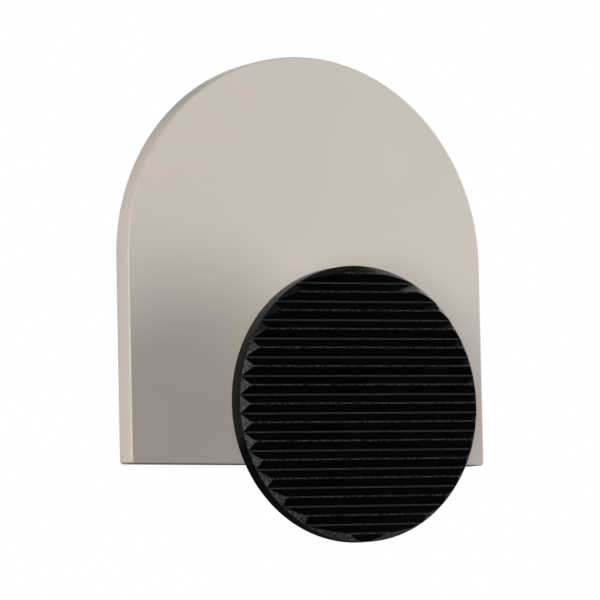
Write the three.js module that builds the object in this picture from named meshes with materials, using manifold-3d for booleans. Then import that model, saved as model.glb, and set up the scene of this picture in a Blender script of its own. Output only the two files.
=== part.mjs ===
// A wall door stop: an arched painted plate that hangs flat on a wall, and a round ribbed
// rubber buffer that stands in front of the plate's foot on a short turned post.
//
// Millimetres, +Z up. The wall is the plane y = 0 and the front looks along -Y. The origin is
// on the plate's back face, at the centre of its arch. Depths are counted from the wall
// towards the front, so a depth of 5 is the plane y = -5.

import * as THREE from 'three';
import { mergeVertices } from 'three/addons/utils/BufferGeometryUtils.js';
import Module from 'manifold-3d';

// ---------------------------------------------------------------- driving dimensions

const PLATE = {
  radius: 40, // of the arch, and half the plate's width
  leg: 40, // straight side below the arch's centre
  thickness: 5,
  edge: 0.5, // broken edges, front and back
};

const BUFFER = {
  radius: 26.6,
  drop: 29.25, // axis below the arch's centre
  turn: 0.9, // degrees that its ribs are off level, with their right ends higher
  gap: 15, // clear space between the plate and the buffer
  wall: 3.5, // smooth rim, from the back to the floor of the grooves
  rim: 4.5, // rubber outside the carrier
  pitch: 3.57, // between ribs, one of which crosses the axis
  ribHeight: 1.8,
  crest: 0.3, // flat on top of a rib
  groove: 0.2, // flat at the bottom of a groove
  bevel: 1.4, // how far the rim leans in over the rib height
  edge: 0.4, // broken edge at the back
  lip: 0.9, // rubber behind the carrier
  lipWidth: 4, // how far that rubber reaches in over the carrier
};

const CARRIER_THICKNESS = 1.5;

const POST = { radius: 9, edge: 0.4 };

const PIN = { radius: 1.5, length: 8, intoPlate: 1.7, edge: 0.3 };

const HANGER = {
  halfWidth: 22,
  halfHeight: 10,
  thickness: 1.5,
  margin: 5.2, // of plate between its top corners, taken as sharp, and the arch
  corner: 3,
  screwInset: 3.6, // screw centres from its sides
};

const KEYHOLE = {
  spread: 12, // each side of the middle
  entry: 4, // radius that passes a wall screw's head
  slot: 2.1, // half-width that holds a wall screw's neck
  fall: 7, // how far the plate drops on to the screws
  headRoom: 0.75, // around a screw head, behind the hanger
  depth: 3.6, // of the head's pocket, from the wall
};

const DOT = { radius: 4, thickness: 0.8, inset: 9, crown: 6.5 };

// Countersunk screws: `land` is the short cylinder round the head, above its 90 degree cone.
const M3 = { shank: 1.5, head: 2.75, land: 0.15, socket: 1.15, socketDepth: 0.9, tip: 0.3 };
const M6 = { shank: 3, head: 6, land: 0.3, socket: 2.3, socketDepth: 2.4, tip: 0.6 };

const HANGER_SCREW_LENGTH = 3.8;
const CARRIER_SCREW_LENGTH = 6;
const CARRIER_SCREWS = 3;
const CARRIER_SCREW_INSET = 3.5; // screw centres inside the post's side
const POST_SCREW_LENGTH = 16;
const POST_SCREW_SINK = 0.2; // head below the wall face

const FIT = 0.1; // round a screw, a pin or a drop-in plate
const SNAP_FIT = 0.15; // round the carrier inside the rubber
const OVERSHOOT = 1; // how far a cutter runs past the face it opens

const ROUND_SIDES = 72; // sides of a full circle on the large pieces
const SMALL_SIDES = 20; // and on the small ones
const CORNER_STEPS = 5; // in a quarter turn of the hanger's corners

// ---------------------------------------------------------------- depths that follow

const plateFront = PLATE.thickness;
const bufferBack = plateFront + BUFFER.gap;
const carrierBack = bufferBack + BUFFER.lip;
const carrierFront = carrierBack + CARRIER_THICKNESS;
const grooveFloor = bufferBack + BUFFER.wall;
const ribTop = grooveFloor + BUFFER.ribHeight;

// ---------------------------------------------------------------- places that follow

const postAxis = new THREE.Vector3(0, 0, -BUFFER.drop);
const carrierRadius = BUFFER.radius - BUFFER.rim;
const ribsEachSide = Math.floor((BUFFER.radius - BUFFER.bevel) / BUFFER.pitch);
const carrierScrewCircle = POST.radius - CARRIER_SCREW_INSET;
const pinOffset = (M6.shank + POST.radius) / 2; // midway between the screw and the post's side
const hangerReach = PLATE.radius - HANGER.margin; // of its top corners from the arch's centre
const hangerRise = Math.sqrt(hangerReach ** 2 - HANGER.halfWidth ** 2) - HANGER.halfHeight;

// ---------------------------------------------------------------- finishes

const finish = (color, roughness, metalness) => ({ color, roughness, metalness });
const PAINT = finish(0xc4bbb1, 0.5, 0.1);
const RUBBER = finish(0x141414, 0.7, 0);
const DOT_RUBBER = finish(0x3a3a3a, 0.85, 0);
const ZINC = finish(0xb4b6b8, 0.4, 0.9);
const PIN_STEEL = finish(0x8c8f93, 0.3, 1);

// ---------------------------------------------------------------- solids

const wasm = await Module();
wasm.setup();

/** Turns a closed geometry into a solid that can be cut and joined. */
function solid(geometry) {
  geometry.deleteAttribute('normal');
  geometry.deleteAttribute('uv');
  const merged = mergeVertices(geometry, 1e-4);
  const corners = merged.index.array;
  const triangles = [];
  for (let i = 0; i < corners.length; i += 3) {
    const [a, b, c] = corners.slice(i, i + 3);
    if (a !== b && b !== c && c !== a) triangles.push(a, b, c);
  }
  return new wasm.Manifold(new wasm.Mesh({
    numProp: 3,
    vertProperties: new Float32Array(merged.attributes.position.array),
    triVerts: new Uint32Array(triangles),
  }));
}

/** Turns a solid back into a geometry. */
function geometryOf(body) {
  const mesh = body.getMesh();
  const geometry = new THREE.BufferGeometry();
  geometry.setAttribute('position', new THREE.BufferAttribute(mesh.vertProperties, 3));
  geometry.setIndex(new THREE.BufferAttribute(mesh.triVerts, 1));
  geometry.computeVertexNormals();
  return geometry;
}

/** A solid of revolution about Y from [radius, y] pairs that rise from the axis to the axis. */
function turned(outline, sides = SMALL_SIDES) {
  const points = outline.map(([radius, y]) => new THREE.Vector2(radius, y));
  return solid(new THREE.LatheGeometry(points, sides));
}

/** A plain disc about Y between two depths. */
function disc(radius, nearDepth, farDepth, sides = SMALL_SIDES) {
  return turned([[0, -farDepth], [radius, -farDepth], [radius, -nearDepth], [0, -nearDepth]], sides);
}

/** An outline drawn in X and Z, made solid between two depths, with its edges broken by `edge`. */
function slab(shape, nearDepth, farDepth, arcSteps = SMALL_SIDES / 2, edge = 0) {
  const geometry = new THREE.ExtrudeGeometry(shape, {
    depth: farDepth - nearDepth - 2 * edge,
    bevelEnabled: edge > 0,
    bevelThickness: edge,
    bevelSize: edge,
    bevelOffset: -edge,
    bevelSegments: 1,
    curveSegments: arcSteps,
  });
  geometry.rotateX(Math.PI / 2);
  geometry.translate(0, -nearDepth - edge, 0);
  return solid(geometry);
}

/** Moves a solid to a centre, keeping its depth. */
function at(body, centre) {
  return body.translate([centre.x, centre.y, centre.z]);
}

function mesh(name, body, look, centre = new THREE.Vector3()) {
  const piece = new THREE.Mesh(geometryOf(body), new THREE.MeshStandardMaterial(look));
  piece.name = name;
  piece.position.copy(centre);
  return piece;
}

// ---------------------------------------------------------------- outlines

function archOutline() {
  const shape = new THREE.Shape();
  shape.moveTo(-PLATE.radius, -PLATE.leg);
  shape.lineTo(PLATE.radius, -PLATE.leg);
  shape.lineTo(PLATE.radius, 0);
  shape.absarc(0, 0, PLATE.radius, 0, Math.PI, false);
  shape.lineTo(-PLATE.radius, -PLATE.leg);
  return shape;
}

/** A rectangle with round corners, centred on the hanger's middle. */
function hangerOutline(grow = 0) {
  const x = HANGER.halfWidth + grow;
  const z = HANGER.halfHeight + grow;
  const r = HANGER.corner + grow;
  const shape = new THREE.Shape();
  shape.absarc(x - r, hangerRise + z - r, r, 0, Math.PI / 2, false);
  shape.absarc(-x + r, hangerRise + z - r, r, Math.PI / 2, Math.PI, false);
  shape.absarc(-x + r, hangerRise - z + r, r, Math.PI, 1.5 * Math.PI, false);
  shape.absarc(x - r, hangerRise - z + r, r, 1.5 * Math.PI, 2 * Math.PI, false);
  return shape;
}

/** A slot with round ends that runs up from a keyhole's entry to its resting place. */
function slotOutline(side, radius) {
  const x = side * KEYHOLE.spread;
  const low = hangerRise - KEYHOLE.fall / 2;
  const shape = new THREE.Shape();
  shape.absarc(x, low + KEYHOLE.fall, radius, 0, Math.PI, false);
  shape.absarc(x, low, radius, Math.PI, 2 * Math.PI, false);
  return shape;
}

// ---------------------------------------------------------------- screws and their holes

/** Half-outline of a countersunk screw: head face at y = 0, shank down to -length. */
function screwOutline(size, length, grow, top) {
  const { head, shank, land, tip } = size;
  const cone = head - shank;
  return [
    [0, -length - grow],
    [shank - tip + grow, -length - grow],
    [shank + grow, -length + tip],
    [shank + grow, -land - cone],
    [head + grow, -land],
    [head + grow, top],
    [0, top],
  ];
}

/** A countersunk screw with a hexagon socket, head towards +Y. */
function screw(size, length) {
  const socket = new THREE.CylinderGeometry(size.socket, size.socket, 2 * size.socketDepth, 6);
  return turned(screwOutline(size, length, 0, 0)).subtract(solid(socket));
}

/** The room that a screw needs, open above its head. */
function screwRoom(size, length) {
  return turned(screwOutline(size, length, FIT, OVERSHOOT));
}

function hangerScrewPlaces() {
  const x = HANGER.halfWidth - HANGER.screwInset;
  const z = HANGER.halfHeight - HANGER.screwInset;
  const corners = [[-x, z], [x, z], [-x, -z], [x, -z]];
  return corners.map(([dx, dz]) => new THREE.Vector3(dx, 0, hangerRise + dz));
}

function carrierScrewPlaces() {
  return Array.from({ length: CARRIER_SCREWS }, (_, i) => {
    const turn = Math.PI / 2 + (i * 2 * Math.PI) / CARRIER_SCREWS;
    return new THREE.Vector3(
      carrierScrewCircle * Math.cos(turn),
      -carrierFront,
      -BUFFER.drop + carrierScrewCircle * Math.sin(turn),
    );
  });
}

/** Room for the carrier's screws, whose heads look to the front. */
function carrierScrewRooms() {
  const room = screwRoom(M3, CARRIER_SCREW_LENGTH).rotate([180, 0, 0]);
  return carrierScrewPlaces().map((place) => at(room, place));
}

const postScrewPlace = new THREE.Vector3(0, -POST_SCREW_SINK, -BUFFER.drop);
const pinPlace = new THREE.Vector3(0, 0, -BUFFER.drop + pinOffset);
const pinStart = plateFront - PIN.intoPlate;

function pinRoom() {
  return at(disc(PIN.radius + FIT, pinStart - FIT, pinStart + PIN.length + FIT), pinPlace);
}

function dotPlaces() {
  const side = PLATE.radius - DOT.inset;
  return [
    new THREE.Vector3(0, 0, PLATE.radius - DOT.crown),
    new THREE.Vector3(-side, 0, -PLATE.leg + DOT.inset),
    new THREE.Vector3(side, 0, -PLATE.leg + DOT.inset),
  ];
}

// ---------------------------------------------------------------- pieces

/** The arched plate, pocketed at the back for the hanger, the screw heads and the dots. */
function archPlate() {
  const hangerScrewRoom = screwRoom(M3, HANGER_SCREW_LENGTH);
  const cuts = [
    slab(hangerOutline(FIT), -OVERSHOOT, HANGER.thickness, CORNER_STEPS),
    at(screwRoom(M6, POST_SCREW_LENGTH), postScrewPlace),
    pinRoom(),
    ...[-1, 1].map((side) => slab(slotOutline(side, KEYHOLE.entry + KEYHOLE.headRoom), 0, KEYHOLE.depth)),
    ...hangerScrewPlaces().map((place) => at(hangerScrewRoom, place)),
    ...dotPlaces().map((place) => at(disc(DOT.radius + FIT, -OVERSHOOT, DOT.thickness), place)),
  ];
  const plate = slab(archOutline(), 0, PLATE.thickness, ROUND_SIDES / 2, PLATE.edge);
  return cuts.reduce((rest, cut) => rest.subtract(cut), plate);
}

/** The steel strip with two keyholes that hangs on screws in the wall. */
function hangerPlate() {
  const room = screwRoom(M3, HANGER_SCREW_LENGTH);
  let strip = slab(hangerOutline(), 0, HANGER.thickness, CORNER_STEPS);
  for (const side of [-1, 1]) {
    const entry = new THREE.Vector3(side * KEYHOLE.spread, 0, hangerRise - KEYHOLE.fall / 2);
    strip = strip.subtract(at(disc(KEYHOLE.entry, -OVERSHOOT, HANGER.thickness + OVERSHOOT), entry));
    strip = strip.subtract(slab(slotOutline(side, KEYHOLE.slot), -OVERSHOOT, HANGER.thickness + OVERSHOOT));
  }
  return hangerScrewPlaces().reduce((rest, place) => rest.subtract(at(room, place)), strip);
}

/** The turned post, tapped at both ends, with a blind hole for the pin that stops it turning. */
function post() {
  const { radius, edge } = POST;
  const bar = turned([
    [0, -carrierBack],
    [radius - edge, -carrierBack],
    [radius, -carrierBack + edge],
    [radius, -plateFront - edge],
    [radius - edge, -plateFront],
    [0, -plateFront],
  ], ROUND_SIDES);
  const cuts = [at(screwRoom(M6, POST_SCREW_LENGTH), postScrewPlace), pinRoom(), ...carrierScrewRooms()];
  return cuts.reduce((rest, cut) => rest.subtract(cut), at(bar, postAxis));
}

/** The pin across the joint between plate and post. */
function pin() {
  const { radius, edge } = PIN;
  const [near, far] = [-pinStart, -pinStart - PIN.length];
  return turned([
    [0, far],
    [radius - edge, far],
    [radius, far + edge],
    [radius, near - edge],
    [radius - edge, near],
    [0, near],
  ]);
}

/** The steel disc that the rubber snaps over. */
function carrier() {
  const blank = at(disc(carrierRadius, carrierBack, carrierFront, ROUND_SIDES), postAxis);
  return carrierScrewRooms().reduce((rest, room) => rest.subtract(room), blank);
}

/** One groove between two ribs, open to the front and longer than the buffer is wide. */
function groove(middle) {
  const floor = BUFFER.groove / 2;
  const mouth = (BUFFER.pitch - BUFFER.crest) / 2;
  const splay = (mouth - floor) / BUFFER.ribHeight;
  const open = mouth + splay * OVERSHOOT;
  const section = new THREE.Shape([
    new THREE.Vector2(grooveFloor, middle - floor),
    new THREE.Vector2(ribTop + OVERSHOOT, middle - open),
    new THREE.Vector2(ribTop + OVERSHOOT, middle + open),
    new THREE.Vector2(grooveFloor, middle + floor),
  ]);
  const reach = BUFFER.radius + OVERSHOOT;
  const bar = new THREE.ExtrudeGeometry(section, { depth: 2 * reach, bevelEnabled: false });
  bar.translate(0, 0, -reach);
  bar.applyMatrix4(new THREE.Matrix4().makeBasis(
    new THREE.Vector3(0, -1, 0),
    new THREE.Vector3(0, 0, 1),
    new THREE.Vector3(-1, 0, 0),
  ));
  return solid(bar);
}

/** The rubber buffer: a ribbed face, a smooth rim and a lip that grips the carrier from behind. */
function ribbedBuffer() {
  const { radius, edge, bevel, lipWidth } = BUFFER;
  const body = turned([
    [0, -ribTop],
    [radius - bevel, -ribTop],
    [radius, -grooveFloor],
    [radius, -bufferBack - edge],
    [radius - edge, -bufferBack],
    [0, -bufferBack],
  ], ROUND_SIDES);
  const pocket = disc(carrierRadius + SNAP_FIT, carrierBack - SNAP_FIT, carrierFront + SNAP_FIT, ROUND_SIDES);
  const mouth = disc(carrierRadius - lipWidth, bufferBack - OVERSHOOT, carrierBack, ROUND_SIDES);
  let rubber = body.subtract(pocket).subtract(mouth);
  for (let i = -ribsEachSide - 1; i <= ribsEachSide; i += 1) {
    rubber = rubber.subtract(groove((i + 0.5) * BUFFER.pitch));
  }
  return rubber;
}

function wallDot() {
  return disc(DOT.radius, 0, DOT.thickness);
}

// ---------------------------------------------------------------- assembly

const stop = new THREE.Group();

stop.add(
  mesh('arch_plate', archPlate(), PAINT),
  mesh('hanger_plate', hangerPlate(), ZINC),
  mesh('post', post(), PAINT),
  mesh('post_screw', screw(M6, POST_SCREW_LENGTH), ZINC, postScrewPlace),
  mesh('post_pin', pin(), PIN_STEEL, pinPlace),
  mesh('pad_carrier', carrier(), ZINC),
);

const rubber = mesh('ribbed_pad', ribbedBuffer(), RUBBER, postAxis);
rubber.rotation.y = -THREE.MathUtils.degToRad(BUFFER.turn);
stop.add(rubber);

hangerScrewPlaces().forEach((place, i) => {
  stop.add(mesh(`hanger_screw_${i + 1}`, screw(M3, HANGER_SCREW_LENGTH), ZINC, place));
});

carrierScrewPlaces().forEach((place, i) => {
  const piece = mesh(`carrier_screw_${i + 1}`, screw(M3, CARRIER_SCREW_LENGTH), ZINC, place);
  piece.rotation.x = Math.PI;
  stop.add(piece);
});

dotPlaces().forEach((place, i) => {
  stop.add(mesh(`wall_dot_${i + 1}`, wallDot(), DOT_RUBBER, place));
});

export default stop;
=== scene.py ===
"""Looks of a wall door stop: an arched painted plate with a ribbed rubber buffer on a short post.

Everything is in metres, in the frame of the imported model: +Z up along the wall, the wall in the
plane Y = 0, and the front towards -Y. The origin is on the plate's back, at the arch's centre.
A depth is a distance from the wall towards the front, so it is -Y.
"""

import logging
import math
from collections.abc import Callable, Iterable, Sequence
from dataclasses import dataclass, field
from enum import Enum

import bmesh
import bpy
from mathutils import Matrix, Vector


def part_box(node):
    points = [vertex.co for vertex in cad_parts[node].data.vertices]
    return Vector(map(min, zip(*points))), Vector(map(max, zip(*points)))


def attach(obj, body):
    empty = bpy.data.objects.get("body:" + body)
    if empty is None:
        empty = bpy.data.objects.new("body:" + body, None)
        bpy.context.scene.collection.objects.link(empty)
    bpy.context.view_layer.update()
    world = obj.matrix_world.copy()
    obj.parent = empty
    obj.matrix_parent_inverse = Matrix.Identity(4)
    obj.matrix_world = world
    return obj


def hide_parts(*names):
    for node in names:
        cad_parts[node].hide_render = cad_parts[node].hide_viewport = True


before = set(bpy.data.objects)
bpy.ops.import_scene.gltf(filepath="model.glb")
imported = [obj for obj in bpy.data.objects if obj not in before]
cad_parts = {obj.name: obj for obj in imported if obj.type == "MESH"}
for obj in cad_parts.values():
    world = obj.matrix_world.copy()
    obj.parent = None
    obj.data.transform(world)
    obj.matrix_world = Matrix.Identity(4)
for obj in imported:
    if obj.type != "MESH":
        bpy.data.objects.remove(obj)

log = logging.getLogger("door_stop")

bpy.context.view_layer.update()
MM = 0.001
FLOOR_DROP = 1.3  # from the origin down to the studio floor
SHARP = math.radians(28)  # a crease sharper than this keeps its edge

Point = tuple[float, float]
Input = object  # what a socket takes: a Signal, a number, a colour, a vector or an object


# ------------------------------------------------------------------------------ node trees


class Signal:
    """A node's output. Its operators add Math nodes to the tree that it belongs to."""

    def __init__(self, nodes: "Nodes", socket: bpy.types.NodeSocket) -> None:
        """Keeps the tree's builder and the socket."""
        self.nodes = nodes
        self.socket = socket

    def _math(self, operation: str, *values: Input) -> "Signal":
        """Adds one Math node and gives its output."""
        return self.nodes.add("ShaderNodeMath", {"operation": operation}, dict(enumerate(values)))

    def __add__(self, other: Input) -> "Signal":
        """self + other."""
        return self._math("ADD", self, other)

    def __sub__(self, other: Input) -> "Signal":
        """self - other."""
        return self._math("SUBTRACT", self, other)

    def __rsub__(self, other: Input) -> "Signal":
        """other - self."""
        return self._math("SUBTRACT", other, self)

    def __mul__(self, other: Input) -> "Signal":
        """self * other."""
        return self._math("MULTIPLY", self, other)

    __radd__ = __add__
    __rmul__ = __mul__

    def size(self) -> "Signal":
        """The value without its sign."""
        return self._math("ABSOLUTE", self)

    def ramp(self, low: float, high: float, start: float = 0.0, end: float = 1.0) -> "Signal":
        """A smooth step.

        Args:
            low: the value where the step begins.
            high: the value where it ends.
            start: what it gives at and below low.
            end: what it gives at and above high.

        Returns:
            The stepped value.
        """
        settings = {"interpolation_type": "SMOOTHSTEP"}
        values = {"Value": self, "From Min": low, "From Max": high, "To Min": start, "To Max": end}
        return self.nodes.add("ShaderNodeMapRange", settings, values)


class Nodes:
    """Builds a node tree by calls."""

    def __init__(self, tree: bpy.types.NodeTree) -> None:
        """Takes an empty tree."""
        self.tree = tree

    def add(
        self,
        kind: str,
        settings: dict[str, object] | None = None,
        values: dict[str | int, Input] | None = None,
        output: str | int = 0,
    ) -> Signal:
        """Adds a node of any type.

        Args:
            kind: the node's type, as Blender names it.
            settings: the node's own properties, which are set first.
            values: what goes into its sockets, by name or place: a Signal, a number, a colour...
            output: which of its outputs is given back.

        Returns:
            The chosen output.
        """
        node = self.tree.nodes.new(kind)
        for name, value in (settings or {}).items():
            setattr(node, name, value)
        for name, value in (values or {}).items():
            if isinstance(value, Signal):
                self.tree.links.new(value.socket, node.inputs[name])
            else:
                node.inputs[name].default_value = value
        return Signal(self, node.outputs[output]) if node.outputs else Signal(self, None)


class Paintwork(Nodes):
    """The node tree of one material, with a Principled shader at its end."""

    def __init__(self, name: str) -> None:
        """Makes an empty material."""
        self.material = bpy.data.materials.new(name)
        self.material.use_nodes = True
        super().__init__(self.material.node_tree)
        self.tree.nodes.clear()
        self.place = self.add("ShaderNodeTexCoord", output="Object")

    def noise(self, size: float, detail: float = 2.0, stretch: Point | None = None) -> Signal:
        """Soft noise from 0 to 1.

        Args:
            size: the width of one lump, in metres.
            detail: how many finer layers it has.
            stretch: if given, how much longer a lump is along X and Z.

        Returns:
            The noise value.
        """
        place = self.place
        if stretch:
            scale = (1 / stretch[0], 1.0, 1 / stretch[1])
            place = self.add("ShaderNodeMapping", values={"Vector": place, "Scale": scale})
        values = {"Vector": place, "Scale": 1 / size, "Detail": detail}
        return self.add("ShaderNodeTexNoise", values=values)

    def specks(self, size: float) -> Signal:
        """The distance to the nearest of many scattered points, in parts of their spacing."""
        return self.add("ShaderNodeTexVoronoi", values={"Vector": self.place, "Scale": 1 / size})

    def attribute(self, name: str) -> Signal:
        """A value that the mesh carries."""
        return self.add("ShaderNodeAttribute", {"attribute_name": name}, output="Fac")

    def mix(self, share: Input, first: Input, second: Input) -> Signal:
        """A colour between two colours."""
        values = {0: share, 6: first, 7: second}
        return self.add("ShaderNodeMix", {"data_type": "RGBA"}, values, output=2)

    def bump(self, height: Signal, depth: float, under: Signal | None = None) -> Signal:
        """A normal from a height.

        Args:
            height: a value of about 0 to 1.
            depth: how high 1 stands, in metres.
            under: a normal that this one is added to.

        Returns:
            The new normal.
        """
        values = {"Height": height, "Strength": 1.0, "Distance": depth}
        if under:
            values["Normal"] = under
        return self.add("ShaderNodeBump", values=values)

    def shade(self, **inputs: Input) -> bpy.types.Material:
        """Adds the shader, with underscores for the spaces in its sockets' names."""
        values = {name.replace("_", " "): value for name, value in inputs.items()}
        surface = self.add("ShaderNodeBsdfPrincipled", values=values)
        self.add("ShaderNodeOutputMaterial", values={"Surface": surface})
        return self.material


def colour(red: float, green: float, blue: float) -> tuple[float, float, float, float]:
    """A scene-linear colour with full alpha."""
    return (red, green, blue, 1.0)


def lighter(tone: Sequence[float], factor: float) -> tuple[float, float, float, float]:
    """A colour multiplied by a factor."""
    return colour(*(factor * channel for channel in tone[:3]))


# ------------------------------------------------------------------------------ finishes


@dataclass(frozen=True)
class SatinPaint:
    """Powder coat: an even warm grey with a very fine grain and a faint flow of the coat."""

    tone: tuple[float, ...] = colour(0.56, 0.498, 0.446)
    roughness: float = 0.42
    grain: float = 0.12 * MM
    flow: float = 1.6 * MM
    cloud: float = 22 * MM

    def material(self) -> bpy.types.Material:
        """Makes the finish."""
        work = Paintwork("satin_paint")
        cloud = work.noise(self.cloud, detail=3.0)
        grain = work.noise(self.grain, detail=1.0)
        tone = work.mix(cloud.ramp(0.3, 0.7), lighter(self.tone, 0.985), lighter(self.tone, 1.015))
        flowing = work.bump(work.noise(self.flow), 0.0012 * MM)
        return work.shade(
            Base_Color=work.mix((grain - 0.5).size() * 0.12, tone, lighter(self.tone, 0.8)),
            Roughness=(grain - 0.5) * 0.15 + (cloud - 0.5) * 0.06 + self.roughness,
            Normal=work.bump(grain, 0.0035 * MM, flowing),
        )


@dataclass(frozen=True)
class BufferRubber:
    """Black moulded rubber with specks, torn where it was cut; its crests carry a painted highlight in
    lighter dots, partly scuffing, its grooves' floors a painted highlight, and the cut rim painted
    shade towards the top.
    """

    tone: tuple[float, ...] = colour(0.0015, 0.0015, 0.0016)
    # lighter colour for the specks, and for the painted highlight along the crests
    scuff_and_glint: tuple[float, ...] = colour(0.048, 0.048, 0.05)
    # painted highlight colour for the grooves' floors, standing in for the bright valley lines
    valley_highlight: tuple[float, ...] = colour(0.024, 0.024, 0.025)
    torn: tuple[float, ...] = colour(0.085, 0.084, 0.086)
    roughness: float = 0.3
    gloss: float = 0.1

    def material(self) -> bpy.types.Material:
        """Makes the finish, which reads the mesh's `cut`, `crest` and `groove` values."""
        work = Paintwork("buffer_rubber")
        cut = work.attribute("cut")
        grain = work.noise(0.16 * MM, detail=3.0)
        hatch = work.noise(0.22 * MM, detail=1.0, stretch=(2.6, 1.0)).ramp(0.38, 0.66)
        # dotted pattern of the painted highlight along the crests, partly scuffing
        crest_glint_dots = work.noise(0.28 * MM, detail=2.0, stretch=(1.5, 1.0)).ramp(0.4, 0.62)
        # blotchy pattern of the painted highlight on the grooves' floors
        blotches = work.noise(0.4 * MM, detail=3.0, stretch=(2.0, 1.0)).ramp(0.3, 0.6, 0.3, 1.1)
        specks = work.specks(0.45 * MM).ramp(0.04, 0.22, 1.0, 0.0) * work.noise(2 * MM).ramp(0.4, 0.6)
        rubber = work.mix(specks * 0.12, self.tone, self.scuff_and_glint)
        # painted highlight: the crests are coloured lighter in dots, standing in for their glints
        rubber = work.mix(work.attribute("crest") * crest_glint_dots, rubber, self.scuff_and_glint)
        # painted highlight: the grooves' floors are coloured lighter, standing in for the bright valley
        # lines
        rubber = work.mix(work.attribute("groove") * blotches, rubber, self.valley_highlight)
        return work.shade(
            Base_Color=work.mix(cut, rubber, work.mix(hatch, lighter(self.torn, 0.12), self.torn)),
            Roughness=(grain - 0.5) * 0.2 + self.roughness + cut * 0.08,
            Normal=work.bump(hatch * cut, 0.05 * MM, work.bump(grain, 0.006 * MM)),
            Specular_IOR_Level=self.gloss,
        )


@dataclass(frozen=True)
class ZincPlate:
    """Zinc-plated steel: a pale satin metal with fine streaks along the sheet and dull patches."""

    name: str = "zinc_plate"
    tone: tuple[float, ...] = colour(0.50, 0.51, 0.52)
    roughness: float = 0.36
    streak: Point = (14.0, 1.0)

    def material(self) -> bpy.types.Material:
        """Makes the finish."""
        work = Paintwork(self.name)
        patch = work.noise(5 * MM, detail=4.0).ramp(0.35, 0.7)
        streak = work.noise(0.15 * MM, stretch=self.streak)
        tone = work.mix(patch, self.tone, lighter(self.tone, 0.82))
        return work.shade(
            Base_Color=work.mix(streak * 0.2, tone, lighter(self.tone, 0.7)),
            Metallic=1.0,
            Roughness=patch * 0.12 + streak * 0.12 + (self.roughness - 0.1),
            Normal=work.bump(streak, 0.004 * MM),
        )


@dataclass(frozen=True)
class DotRubber:
    """Soft dark grey rubber of the wall dots, matt, with a powdery grey film on it."""

    tone: tuple[float, ...] = colour(0.035, 0.035, 0.037)

    def material(self) -> bpy.types.Material:
        """Makes the finish."""
        work = Paintwork("dot_rubber")
        grain = work.noise(0.2 * MM, detail=3.0)
        blotches = work.noise(1.5 * MM).ramp(0.4, 0.75)
        return work.shade(
            Base_Color=work.mix(blotches * 0.5, self.tone, lighter(self.tone, 2.2)),
            Roughness=(grain - 0.5) * 0.15 + 0.8,
            Normal=work.bump(grain, 0.012 * MM),
        )


@dataclass(frozen=True)
class StudioFloor:
    """Plain pale matt floor."""

    tone: tuple[float, ...] = colour(0.8, 0.8, 0.8)

    def material(self) -> bpy.types.Material:
        """Makes the finish."""
        return Paintwork("studio_floor").shade(Base_Color=self.tone, Roughness=0.9)


# ------------------------------------------------------------------------------ mesh work


class Cut(Enum):
    """How one solid changes another."""

    AWAY = "DIFFERENCE"
    JOINED = "UNION"
    TRIMMED = "INTERSECT"


def mesh_object(
    name: str, points: Iterable[Sequence[float]], faces: Iterable[Sequence[int]]
) -> bpy.types.Object:
    """Makes an object at the origin from points and faces, with its faces turned outwards."""
    mesh = bpy.data.meshes.new(name)
    mesh.from_pydata([tuple(point) for point in points], [], [tuple(face) for face in faces])
    work = bmesh.new()
    work.from_mesh(mesh)
    bmesh.ops.remove_doubles(work, verts=work.verts, dist=1e-7)
    bmesh.ops.recalc_face_normals(work, faces=work.faces)
    work.to_mesh(mesh)
    work.free()
    made = bpy.data.objects.new(name, mesh)
    bpy.context.scene.collection.objects.link(made)
    return made


def tube_faces(rings: int, around: int) -> list[list[int]]:
    """The faces of a stack of closed rings, with a flat face at each end."""
    faces = [list(range(around)), list(range((rings - 1) * around, rings * around))]
    for ring in range(rings - 1):
        for i in range(around):
            j = (i + 1) % around
            low, high = ring * around, (ring + 1) * around
            faces.append([low + i, low + j, high + j, high + i])
    return faces


def turned(name: str, outline: Sequence[Point], centre: Point, sides: int = 128) -> bpy.types.Object:
    """Turns an outline about an axis along Y.

    Args:
        name: the new object's name.
        outline: radius and depth of each ring, from one end to the other.
        centre: X and Z of the axis.
        sides: how many sides a full circle has.

    Returns:
        The closed solid.
    """
    points = []
    for radius, depth in outline:
        for i in range(sides):
            turn = 2 * math.pi * i / sides
            x = centre[0] + radius * math.cos(turn)
            points.append((x, -depth, centre[1] + radius * math.sin(turn)))
    return mesh_object(name, points, tube_faces(len(outline), sides))


def rounded_slab(
    name: str,
    outline: Callable[[float], list[Point]],
    depths: Point,
    rounding: float,
    steps: int = 5,
) -> bpy.types.Object:
    """Makes a flat piece with rounded edges.

    Args:
        name: the new object's name.
        outline: gives the outline's X and Z points for how far it is drawn in.
        depths: the nearer and the farther face's distance from the wall.
        rounding: the radius of its edges; 0 leaves them square.
        steps: how many faces a rounded edge has.

    Returns:
        The closed solid.
    """
    near, far = depths
    rings = [(0.0, near), (0.0, far)]
    if rounding:
        quarter = [math.pi / 2 * i / steps for i in range(steps + 1)]
        round_near = [
            (rounding * (1 - math.sin(a)), near + rounding * (1 - math.cos(a))) for a in quarter
        ]
        round_far = [(inset, near + far - depth) for inset, depth in reversed(round_near)]
        flat = 0.08 * rounding  # a narrow flat ring keeps the shading of the large face even
        rings = [(rounding + flat, near), *round_near, *round_far, (rounding + flat, far)]
    points = [(x, -depth, z) for inset, depth in rings for x, z in outline(inset)]
    return mesh_object(name, points, tube_faces(len(rings), len(outline(0.0))))


def plain(item: bpy.types.Object) -> bpy.types.Object:
    """Turns an object with modifiers into a plain mesh and takes the modifiers off."""
    graph = bpy.context.evaluated_depsgraph_get()
    mesh = bpy.data.meshes.new_from_object(item.evaluated_get(graph))
    item.modifiers.clear()
    item.data = mesh
    mesh.name = item.name
    return item


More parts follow.
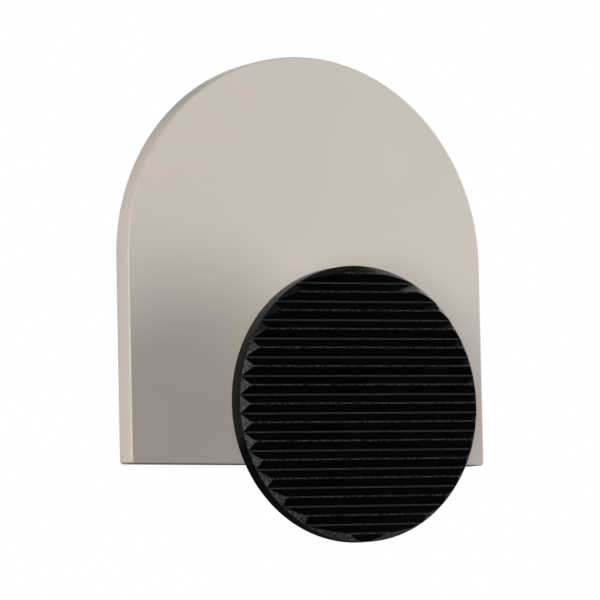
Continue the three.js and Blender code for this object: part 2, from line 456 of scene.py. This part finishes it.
def cut(body: bpy.types.Object, how: Cut, *tools: bpy.types.Object) -> bpy.types.Object:
    """Cuts, joins or trims a body with closed tools, and deletes the tools."""
    for tool in tools:
        step = body.modifiers.new(how.name, "BOOLEAN")
        step.operation = how.value
        step.solver = "EXACT"
        step.object = tool
        plain(body)
        bpy.data.objects.remove(tool)
    return body


def smooth(item: bpy.types.Object) -> bpy.types.Object:
    """Shades a mesh smooth, apart from its sharp creases."""
    item.data.shade_smooth()
    item.data.set_sharp_from_angle(angle=SHARP)
    return item


def dressed(
    item: bpy.types.Object, material: bpy.types.Material, slot: str, *nodes: str
) -> bpy.types.Object:
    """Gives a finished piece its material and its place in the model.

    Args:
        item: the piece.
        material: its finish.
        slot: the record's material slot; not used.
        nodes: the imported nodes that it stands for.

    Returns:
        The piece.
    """
    item.data.materials.clear()
    item.data.materials.append(material)
    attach(item, "root")
    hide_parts(*nodes)
    log.info("%s: %d faces, stands for %s", item.name, len(item.data.polygons), ", ".join(nodes))
    return item


def kept(node: str, material: bpy.types.Material) -> None:
    """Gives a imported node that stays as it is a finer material."""
    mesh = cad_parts[node].data
    mesh.materials.clear()
    mesh.materials.append(material)
    log.info("%s: kept", node)


def arc(centre: Point, radius: float, start: float, end: float, steps: int) -> list[Point]:
    """Points of a circle between two angles in degrees, both ends included."""
    turns = [math.radians(start + (end - start) * i / steps) for i in range(steps + 1)]
    return [(centre[0] + radius * math.cos(a), centre[1] + radius * math.sin(a)) for a in turns]


def middle(node: str) -> Point:
    """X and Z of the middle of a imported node."""
    low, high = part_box(node)
    return ((low.x + high.x) / 2, (low.z + high.z) / 2)


def radius_of(node: str) -> float:
    """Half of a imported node's width."""
    low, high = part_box(node)
    return (high.x - low.x) / 2


def depths_of(node: str) -> Point:
    """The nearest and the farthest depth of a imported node."""
    low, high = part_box(node)
    return (-high.y, -low.y)


# ------------------------------------------------------------------------------ copies


class CopyTree(Nodes):
    """A geometry tree that sets copies of what it is given on places, and dresses them."""

    def __init__(self, name: str, inputs: dict[str, str]) -> None:
        """Makes the tree's sockets.

        Args:
            name: the tree's name.
            inputs: each further input's name and the kind of its socket.
        """
        tree = bpy.data.node_groups.new(name, "GeometryNodeTree")
        tree.interface.new_socket("Geometry", in_out="INPUT", socket_type="NodeSocketGeometry")
        for label, kind in (inputs | {"Material": "NodeSocketMaterial"}).items():
            tree.interface.new_socket(label, in_out="INPUT", socket_type=kind)
        tree.interface.new_socket("Geometry", in_out="OUTPUT", socket_type="NodeSocketGeometry")
        super().__init__(tree)
        self.given = tree.nodes.new("NodeGroupInput")

    def named(self, label: str) -> Signal:
        """One of the tree's inputs."""
        return Signal(self, self.given.outputs[label])

    def finish(self, places: Signal) -> bpy.types.NodeTree:
        """Sets a copy on each place, makes the copies real and gives them the material."""
        values = {"Points": places, "Instance": self.named("Geometry")}
        copies = self.add("GeometryNodeInstanceOnPoints", values=values)
        real = self.add("GeometryNodeRealizeInstances", values={"Geometry": copies})
        values = {"Geometry": real, "Material": self.named("Material")}
        coated = self.add("GeometryNodeSetMaterial", values=values)
        self.add("NodeGroupOutput", values={"Geometry": coated})
        return self.tree


def row_tree() -> bpy.types.NodeTree:
    """Copies in a straight row: inputs Count, Start and Pitch."""
    kinds = {"Count": "NodeSocketInt", "Start": "NodeSocketVector", "Pitch": "NodeSocketVector"}
    tree = CopyTree("copies_in_a_row", kinds)
    values = {
        "Count": tree.named("Count"),
        "Start Location": tree.named("Start"),
        "Offset": tree.named("Pitch"),
    }
    return tree.finish(tree.add("GeometryNodeMeshLine", {"mode": "OFFSET"}, values))


def scatter_tree() -> bpy.types.NodeTree:
    """Copies on the corners of another object: input Places."""
    tree = CopyTree("copies_on_places", {"Places": "NodeSocketObject"})
    values = {"Object": tree.named("Places")}
    return tree.finish(tree.add("GeometryNodeObjectInfo", values=values, output="Geometry"))


def copied(item: bpy.types.Object, tree: bpy.types.NodeTree, **inputs: Input) -> bpy.types.Object:
    """Runs a tree on an object, with its inputs by name, and keeps the result as a plain mesh."""
    step = item.modifiers.new(tree.name, "NODES")
    step.node_group = tree
    for label, value in inputs.items():
        step[tree.interface.items_tree[label].identifier] = value
    item.update_tag()
    return plain(item)


def copies_on_nodes(
    item: bpy.types.Object, nodes: Sequence[str], material: bpy.types.Material
) -> bpy.types.Object:
    """Sets a copy of a piece, made about the axis X = Z = 0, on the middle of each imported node."""
    spots = [(x, 0.0, z) for x, z in map(middle, nodes)]
    places = mesh_object("places", spots, [])
    copied(item, scatter_tree(), Places=places, Material=material)
    bpy.data.objects.remove(places)
    return item


# ------------------------------------------------------------------------------ sub-assemblies


@dataclass
class CountersunkScrew:
    """A countersunk screw with a hexagon socket, head towards the wall."""

    shank: float
    head: float
    socket: float
    socket_depth: float
    land: float
    edge: float = 0.08 * MM
    pitch: float = 0.5 * MM
    relief: float = 0.2 * MM  # plain shank between the cone and the first turn
    cap: float = 1.3  # radius of the flat round the socket, in socket radii

    def thread(self, start: float, end: float) -> list[Point]:
        """The outline of the threaded part, with a groove at every turn."""
        turns = int((end - start) / self.pitch)
        deep = 0.6 * self.pitch
        outline = []
        for i in range(turns):
            near = start + i * self.pitch
            outline += [(self.shank, near), (self.shank - deep, near + self.pitch / 2)]
        return [*outline, (self.shank, start + turns * self.pitch), (self.shank - deep, end)]

    def build(self, name: str, depths: Point, centre: Point = (0.0, 0.0)) -> bpy.types.Object:
        """Makes the screw between two depths."""
        near, far = depths
        cone_end = near + self.land + self.head - self.shank
        outline = [
            (self.socket * self.cap, near),
            (self.head - self.edge, near),
            (self.head, near + self.edge),
            (self.head, near + self.land),
            (self.shank, cone_end),
            *self.thread(cone_end + self.relief, far),
        ]
        screw = turned(name, outline, centre, sides=72)
        recess = [(self.socket, near - MM), (self.socket, near + self.socket_depth)]
        return smooth(cut(screw, Cut.AWAY, turned("hexagon", recess, centre, 6)))


M3 = CountersunkScrew(1.5 * MM, 2.75 * MM, 1.15 * MM, 0.9 * MM, 0.15 * MM)
M6 = CountersunkScrew(3 * MM, 6 * MM, 2.3 * MM, 2.4 * MM, 0.3 * MM, 0.15 * MM, 1 * MM)

HANGER_SCREWS = [f"hanger_screw_{i}" for i in range(1, 5)]
CARRIER_SCREWS = [f"carrier_screw_{i}" for i in range(1, 4)]
WALL_DOTS = [f"wall_dot_{i}" for i in range(1, 4)]


@dataclass
class PlateAssembly:
    """The arched plate with the keyhole strip, its screws and the wall dots in its back."""

    paint: bpy.types.Material
    zinc: bpy.types.Material
    steel: bpy.types.Material
    dot_rubber: bpy.types.Material
    rounding: float = 0.28 * MM
    foot_corner: float = 0.7 * MM
    strip_corner: float = 3 * MM
    strip_edge: float = 0.12 * MM
    fit: float = 0.1 * MM
    keyhole_spread: float = 12 * MM
    keyhole_entry: float = 4 * MM
    keyhole_slot: float = 2.1 * MM
    keyhole_fall: float = 7 * MM
    head_room: float = 0.75 * MM
    head_depth: float = 3.6 * MM
    dot_crown: float = 0.1 * MM

    def arch(self, inset: float) -> list[Point]:
        """The plate's outline, drawn in by an inset."""
        low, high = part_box("arch_plate")
        radius = high.x - inset
        foot = low.z + inset
        corner = max(self.foot_corner - inset, 0.02 * MM)
        side = radius - corner
        return [
            *arc((0.0, 0.0), radius, 0, 180, 144),
            *arc((-side, foot + corner), corner, 180, 270, 6),
            *arc((side, foot + corner), corner, 270, 360, 6),
        ]

    def strip(self, inset: float) -> list[Point]:
        """The keyhole strip's outline, drawn in by an inset."""
        low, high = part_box("hanger_plate")
        corner = self.strip_corner - inset
        x = high.x - self.strip_corner
        top, bottom = high.z - self.strip_corner, low.z + self.strip_corner
        return [
            *arc((x, top), corner, 0, 90, 12),
            *arc((-x, top), corner, 90, 180, 12),
            *arc((-x, bottom), corner, 180, 270, 12),
            *arc((x, bottom), corner, 270, 360, 12),
        ]

    def slot(self, side: int, radius: float) -> Callable[[float], list[Point]]:
        """The outline of a slot that runs up from a keyhole's entry."""
        x = side * self.keyhole_spread
        low = middle("hanger_plate")[1] - self.keyhole_fall / 2
        high = low + self.keyhole_fall
        return lambda inset: [
            *arc((x, high), radius - inset, 0, 180, 24),
            *arc((x, low), radius - inset, 180, 360, 24),
        ]

    def screw_room(self, node: str, size: CountersunkScrew) -> bpy.types.Object:
        """The countersunk hole for a screw, open at the wall."""
        near, far = depths_of(node)
        head, shank = size.head + self.fit, size.shank + self.fit
        land = near + size.land
        cone_end = land + size.head - size.shank
        outline = [(head, -MM), (head, land), (shank, cone_end), (shank, far + self.fit)]
        return turned("room", outline, middle(node), 72)

    def build_plate(self) -> None:
        """Makes the plate and sinks its pockets into the back."""
        plate = rounded_slab("arch_shell", self.arch, depths_of("arch_plate"), self.rounding)
        strip_depth = depths_of("hanger_plate")[1]
        depths = (-MM, strip_depth)
        tools = [rounded_slab("pocket", lambda inset: self.strip(inset - self.fit), depths, 0.0)]
        for side in (-1, 1):
            outline = self.slot(side, self.keyhole_entry + self.head_room)
            tools.append(rounded_slab("head_room", outline, (strip_depth / 2, self.head_depth), 0.0))
        tools += [self.screw_room(node, M3) for node in HANGER_SCREWS]
        tools.append(self.screw_room("post_screw", M6))
        for node in WALL_DOTS:
            radius = radius_of(node) + self.fit
            room = [(radius, -MM), (radius, depths_of(node)[1])]
            tools.append(turned("dot_room", room, middle(node), 72))
        smooth(cut(plate, Cut.AWAY, *tools))
        dressed(plate, self.paint, "paint", "arch_plate")

    def build_strip(self) -> None:
        """Makes the steel strip with its keyholes and its screw holes."""
        depths = depths_of("hanger_plate")
        strip = rounded_slab("keyhole_strip", self.strip, depths, self.strip_edge, 3)
        through = (depths[0] - MM, depths[1] + MM)
        tools = []
        for side in (-1, 1):
            entry = (side * self.keyhole_spread, middle("hanger_plate")[1] - self.keyhole_fall / 2)
            tools.append(rounded_slab("slot", self.slot(side, self.keyhole_slot), through, 0.0))
            tools.append(turned("entry", [(self.keyhole_entry, depth) for depth in through], entry, 72))
        tools += [self.screw_room(node, M3) for node in HANGER_SCREWS]
        smooth(cut(strip, Cut.AWAY, *tools))
        dressed(strip, self.zinc, "zinc_strip", "hanger_plate")

    def build_screws(self) -> None:
        """Makes one screw and copies it to the four corners of the strip."""
        screw = M3.build("strip_screws", depths_of(HANGER_SCREWS[0]))
        copies_on_nodes(screw, HANGER_SCREWS, self.steel)
        dressed(smooth(screw), self.steel, "screw_steel", *HANGER_SCREWS)

    def build_dots(self) -> None:
        """Makes one dot, slightly dished, and copies it to its three places."""
        near, far = depths_of(WALL_DOTS[0])
        radius = radius_of(WALL_DOTS[0])
        edge = self.dot_crown
        middle_ring, dish, brim = 0.3 * radius, 0.7 * radius, 0.78 * radius
        outline = [
            (middle_ring, near + edge),
            (dish, near + edge),
            (brim, near),
            (radius - edge, near),
            (radius, near + edge),
            (radius, far),
        ]
        dot = turned("wall_dots", outline, (0.0, 0.0), 72)
        copies_on_nodes(dot, WALL_DOTS, self.dot_rubber)
        dressed(smooth(dot), self.dot_rubber, "dot_rubber", *WALL_DOTS)

    def build(self) -> None:
        """Makes every piece."""
        self.build_plate()
        self.build_strip()
        self.build_screws()
        self.build_dots()


@dataclass
class PostAssembly:
    """The turned post, the screw that holds it and the pin that stops it turning."""

    paint: bpy.types.Material
    steel: bpy.types.Material
    pin_steel: bpy.types.Material
    rounding: float = 0.4 * MM
    bore: float = 3.1 * MM
    bore_over: float = 0.2 * MM
    steps: int = 4

    def build(self) -> None:
        """Makes every piece."""
        near, far = depths_of("post")
        radius = radius_of("post")
        corner = (radius - self.rounding, self.rounding)
        quarter = arc(corner, self.rounding, 270, 360, self.steps)
        outline = [(r, near + depth) for r, depth in quarter]
        outline += [(r, far - depth) for r, depth in reversed(quarter)]
        post = turned("turned_post", outline, middle("post"))
        screw_depths = depths_of("post_screw")
        bore = [(self.bore, near - MM), (self.bore, screw_depths[1] + self.bore_over)]
        smooth(cut(post, Cut.AWAY, turned("bore", bore, middle("post"), 72)))
        dressed(post, self.paint, "paint", "post")
        screw = M6.build("post_bolt", screw_depths, middle("post_screw"))
        dressed(screw, self.steel, "screw_steel", "post_screw")
        kept("post_pin", self.pin_steel)


@dataclass
class BufferAssembly:
    """The ribbed rubber buffer, snapped over the steel carrier, with the carrier's screws."""

    rubber: bpy.types.Material
    zinc: bpy.types.Material
    steel: bpy.types.Material
    wall: float = 3.5 * MM
    bevel: float = 1.4 * MM
    pitch: float = 3.57 * MM
    turn: float = 0.9
    groove: float = 0.29 * MM
    crest: float = 0.17 * MM
    crest_steps: int = 6
    top_shade_from: float = 0.3  # height above the axis, in radii, where painted shade begins to darken the cut rim
    top_shade_over: float = 0.25
    top_shade: float = 0.85  # how much of the cut rim's lighter colour the painted shade takes away at the top
    rim_reach: float = 0.1 * MM
    facing: float = 0.98  # cosine within which a face looks the way the rim does
    touch: float = 0.01 * MM
    back_rounding: float = 0.4 * MM
    lip: float = 4 * MM
    snap: float = 0.15 * MM
    flare: float = 0.3 * MM
    sides: int = 240

    def __post_init__(self) -> None:
        """Reads the buffer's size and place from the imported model."""
        self.axis = middle("ribbed_pad")
        self.radius = radius_of("ribbed_pad")
        self.back, self.top = depths_of("ribbed_pad")
        self.floor = self.back + self.wall
        self.rooted = self.floor - self.wall / 8  # depth down to which the ribs run into the rim
        self.lean = self.bevel / (self.top - self.floor)
        self.ribs_each_side = int((self.radius - self.bevel) / self.pitch)
        turn = math.radians(self.turn)
        self.along = Vector((math.cos(turn), 0.0, math.sin(turn)))
        self.across = Vector((-math.sin(turn), 0.0, math.cos(turn)))

    def rib_section(self) -> list[Point]:
        """One rib's section: the way across from its middle and depth, with a rounded crest.

        Returns:
            The points from the left foot over the crest to the right foot.
        """
        half = (self.pitch - self.groove) / 2
        height = self.top - self.floor
        # The flank touches the crest's circle, whose top is the rib's top.
        reach = math.hypot(half, height - self.crest)
        lean = math.atan2(height - self.crest, half) - math.acos(self.crest / reach)
        sweep = math.degrees(math.pi / 2 - lean)
        crest = arc((0.0, self.top - self.crest), self.crest, 90 + sweep, 90 - sweep, self.crest_steps)
        left_foot = [(-half, self.rooted), (-half, self.floor)]
        return [*left_foot, *crest, (half, self.floor), (half, self.rooted)]

    def rib(self) -> bpy.types.Object:
        """One straight rib through the axis, longer than the buffer is wide."""
        section = self.rib_section()
        centre = Vector((self.axis[0], 0.0, self.axis[1]))
        ends = [centre - (self.radius + MM) * self.along, centre + (self.radius + MM) * self.along]
        points = [
            end + way * self.across + Vector((0, -depth, 0))
            for end in ends
            for way, depth in section
        ]
        return mesh_object("ribbed_buffer", points, tube_faces(2, len(section)))

    def envelope(self) -> bpy.types.Object:
        """The leaning rim that cuts the ribs' ends, as a solid."""
        over, under = 0.5 * MM, 0.2 * MM
        outline = [
            (self.radius, self.rooted - under),
            (self.radius, self.floor),
            (self.radius - self.bevel - over * self.lean, self.top + over),
        ]
        return turned("envelope", outline, self.axis, self.sides)

    def cup(self) -> bpy.types.Object:
        """The smooth part behind the ribs, hollow for the carrier and open at the back."""
        rounding = self.back_rounding
        corner = arc((self.radius - rounding, rounding), rounding, 270, 360, 5)
        rim = [(r, self.back + depth) for r, depth in corner]
        blank = turned("cup", [*rim, (self.radius, self.floor)], self.axis, self.sides)
        carrier = radius_of("pad_carrier") + self.snap
        near, far = depths_of("pad_carrier")
        pocket = [(carrier, near - self.snap), (carrier, far + self.snap)]
        mouth = radius_of("pad_carrier") - self.lip
        flared = mouth + self.flare
        opening = [(flared, self.back - MM), (flared, self.back), (mouth, near)]
        tools = [turned("pocket", pocket, self.axis), turned("mouth", opening, self.axis)]
        return cut(blank, Cut.AWAY, *tools)

    def mark(self, item: bpy.types.Object) -> None:
        """Marks the faces of the cut rim, the crests and the grooves' floors, for the material, which
        paints highlights on the crests and the grooves' floors; the cut rim's mark weakens towards the
        top as painted shade.
        """
        mesh = item.data
        names = ("cut", "crest", "groove")
        cut_rim, crest, groove = (mesh.attributes.new(name, "FLOAT", "FACE") for name in names)
        for face in mesh.polygons:
            spread = Vector((face.center.x - self.axis[0], 0.0, face.center.z - self.axis[1]))
            proud = -face.center.y - self.floor
            outward = (spread.normalized() + Vector((0, -self.lean, 0))).normalized()
            near_rim = spread.length + self.lean * proud > self.radius - self.rim_reach
            on_rim = near_rim and proud > 0 and face.normal.dot(outward) > self.facing
            # painted shade: the cut rim's lighter colour is taken away higher up, so the upper teeth
            # come out darker
            top_shading = (spread.z / self.radius - self.top_shade_from) / self.top_shade_over
            cut_rim.data[face.index].value = on_rim * (1 - self.top_shade * min(max(top_shading, 0.0), 1.0))
            depths = [-mesh.vertices[i].co.y for i in face.vertices]
            # the crest and groove marks carry painted highlights in the material
            crest.data[face.index].value = float(min(depths) > self.top - 1.5 * self.crest)
            off_floor = max(max(depths) - self.floor, self.floor - min(depths))
            groove.data[face.index].value = float(off_floor < self.touch)

    def build(self) -> None:
        """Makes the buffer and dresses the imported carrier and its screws."""
        count = 2 * self.ribs_each_side + 3
        pitch = self.pitch * self.across
        start = -(count - 1) / 2 * pitch
        places = {"Count": count, "Start": tuple(start), "Pitch": tuple(pitch)}
        ribbed = copied(self.rib(), row_tree(), **places, Material=self.rubber)
        cut(ribbed, Cut.TRIMMED, self.envelope())
        cut(ribbed, Cut.JOINED, self.cup())
        self.mark(smooth(ribbed))
        dressed(ribbed, self.rubber, "buffer_rubber", "ribbed_pad")
        kept("pad_carrier", self.zinc)
        for node in CARRIER_SCREWS:
            kept(node, self.steel)


# ------------------------------------------------------------------------------ studio


def direction(azimuth: float, elevation: float) -> Vector:
    """The way out from the object at two angles in degrees; azimuth 0 is straight in front."""
    turn, lift = math.radians(azimuth), math.radians(elevation)
    level = math.cos(lift)
    return Vector((math.sin(turn) * level, -math.cos(turn) * level, math.sin(lift)))


@dataclass
class Viewpoint:
    """Where the camera stands: angles in degrees, lengths in metres, the lens in millimetres."""

    azimuth: float = -30.84
    elevation: float = -4.48
    roll: float = -1.20
    distance: float = 0.9951
    lens: float = 308.3
    aim: tuple[float, float, float] = (-0.00644, -0.01265, -0.00856)

    def make(self) -> None:
        """Makes the camera and hands it to the scene."""
        tilt = math.radians(self.roll)
        back = direction(self.azimuth, self.elevation)
        level = Vector((0, 0, 1)).cross(back).normalized()
        upright = back.cross(level)
        right = math.cos(tilt) * level + math.sin(tilt) * upright
        data = bpy.data.cameras.new("camera")
        data.lens = self.lens
        data.clip_start, data.clip_end = 0.01, 50.0
        camera = bpy.data.objects.new("camera", data)
        axes = Matrix((right, back.cross(right), back)).transposed()
        place = Vector(self.aim) + back * self.distance
        camera.matrix_world = Matrix.Translation(place) @ axes.to_4x4()
        bpy.context.scene.collection.objects.link(camera)
        bpy.context.scene.camera = camera


@dataclass
class Softbox:
    """One rectangular light."""

    name: str
    azimuth: float
    elevation: float
    distance: float
    size: Point
    power: float
    aim: tuple[float, float, float] = (0.0, -0.01, -0.01)

    def make(self) -> None:
        """Makes the light, which the camera itself doesn't see."""
        data = bpy.data.lights.new(self.name, "AREA")
        data.shape = "RECTANGLE"
        data.size, data.size_y = self.size
        data.energy = self.power
        back = direction(self.azimuth, self.elevation)
        light = bpy.data.objects.new(self.name, data)
        light.location = Vector(self.aim) + back * self.distance
        light.rotation_euler = (-back).to_track_quat("-Z", "Y").to_euler()
        light.visible_camera = False
        bpy.context.scene.collection.objects.link(light)


@dataclass
class Studio:
    """A white room with soft lights and a plain pale floor."""

    floor_size: float = 12.0
    ambient: float = 0.04
    softboxes: list[Softbox] = field(
        default_factory=lambda: [
            Softbox("right_box", 62, 3, 1.2, (0.7, 0.95), 16.5),
            Softbox("left_box", -40, 0, 1.2, (0.45, 0.6), 7.8),
            Softbox("side_box", -84, 5, 1.2, (0.5, 1.3), 11.6),
            Softbox("back_box", 135, 32, 1.2, (1.0, 0.8), 4.5),
            Softbox("floor_wash", 0, 90, 0.5, (12.0, 12.0), 500.0, (0.0, 0.0, -FLOOR_DROP)),
        ]
    )

    def make_floor(self) -> None:
        """Makes the floor."""
        half = self.floor_size / 2
        corners = [(x * half, y * half, -FLOOR_DROP) for x, y in ((-1, -1), (1, -1), (1, 1), (-1, 1))]
        floor = mesh_object("floor", corners, [(0, 1, 2, 3)])
        floor.data.materials.append(StudioFloor().material())
        floor.visible_diffuse = False  # it stays out of the object's light and reflections
        floor.visible_glossy = False

    def make_room(self) -> None:
        """Makes the surroundings: white to look at, dimmer as a light."""
        world = bpy.data.worlds.new("room")
        world.use_nodes = True
        world.node_tree.nodes.clear()
        nodes = Nodes(world.node_tree)
        seen = nodes.add("ShaderNodeLightPath", output="Is Camera Ray")
        strength = seen * (1 - self.ambient) + self.ambient
        values = {"Color": colour(1, 1, 1), "Strength": strength}
        white = nodes.add("ShaderNodeBackground", values=values)
        nodes.add("ShaderNodeOutputWorld", values={"Surface": white})
        bpy.context.scene.world = world

    def make(self) -> None:
        """Makes the room, the lights and the camera."""
        scene = bpy.context.scene
        scene.view_settings.view_transform = "Standard"
        self.make_floor()
        self.make_room()
        for box in self.softboxes:
            box.make()
        Viewpoint().make()


# ------------------------------------------------------------------------------ main


def main() -> None:
    """Builds the object and the studio round it."""
    logging.basicConfig(level=logging.INFO, format="%(message)s")
    paint = SatinPaint().material()
    zinc = ZincPlate().material()
    steel = ZincPlate("screw_steel", colour(0.46, 0.47, 0.48), 0.3, (1.0, 1.0)).material()
    pin_steel = ZincPlate("pin_steel", colour(0.4, 0.41, 0.43), 0.24, (1.0, 8.0)).material()
    PlateAssembly(paint, zinc, steel, DotRubber().material()).build()
    PostAssembly(paint, steel, pin_steel).build()
    BufferAssembly(BufferRubber().material(), zinc, steel).build()
    Studio().make()


if __name__ == "__main__":
    main()
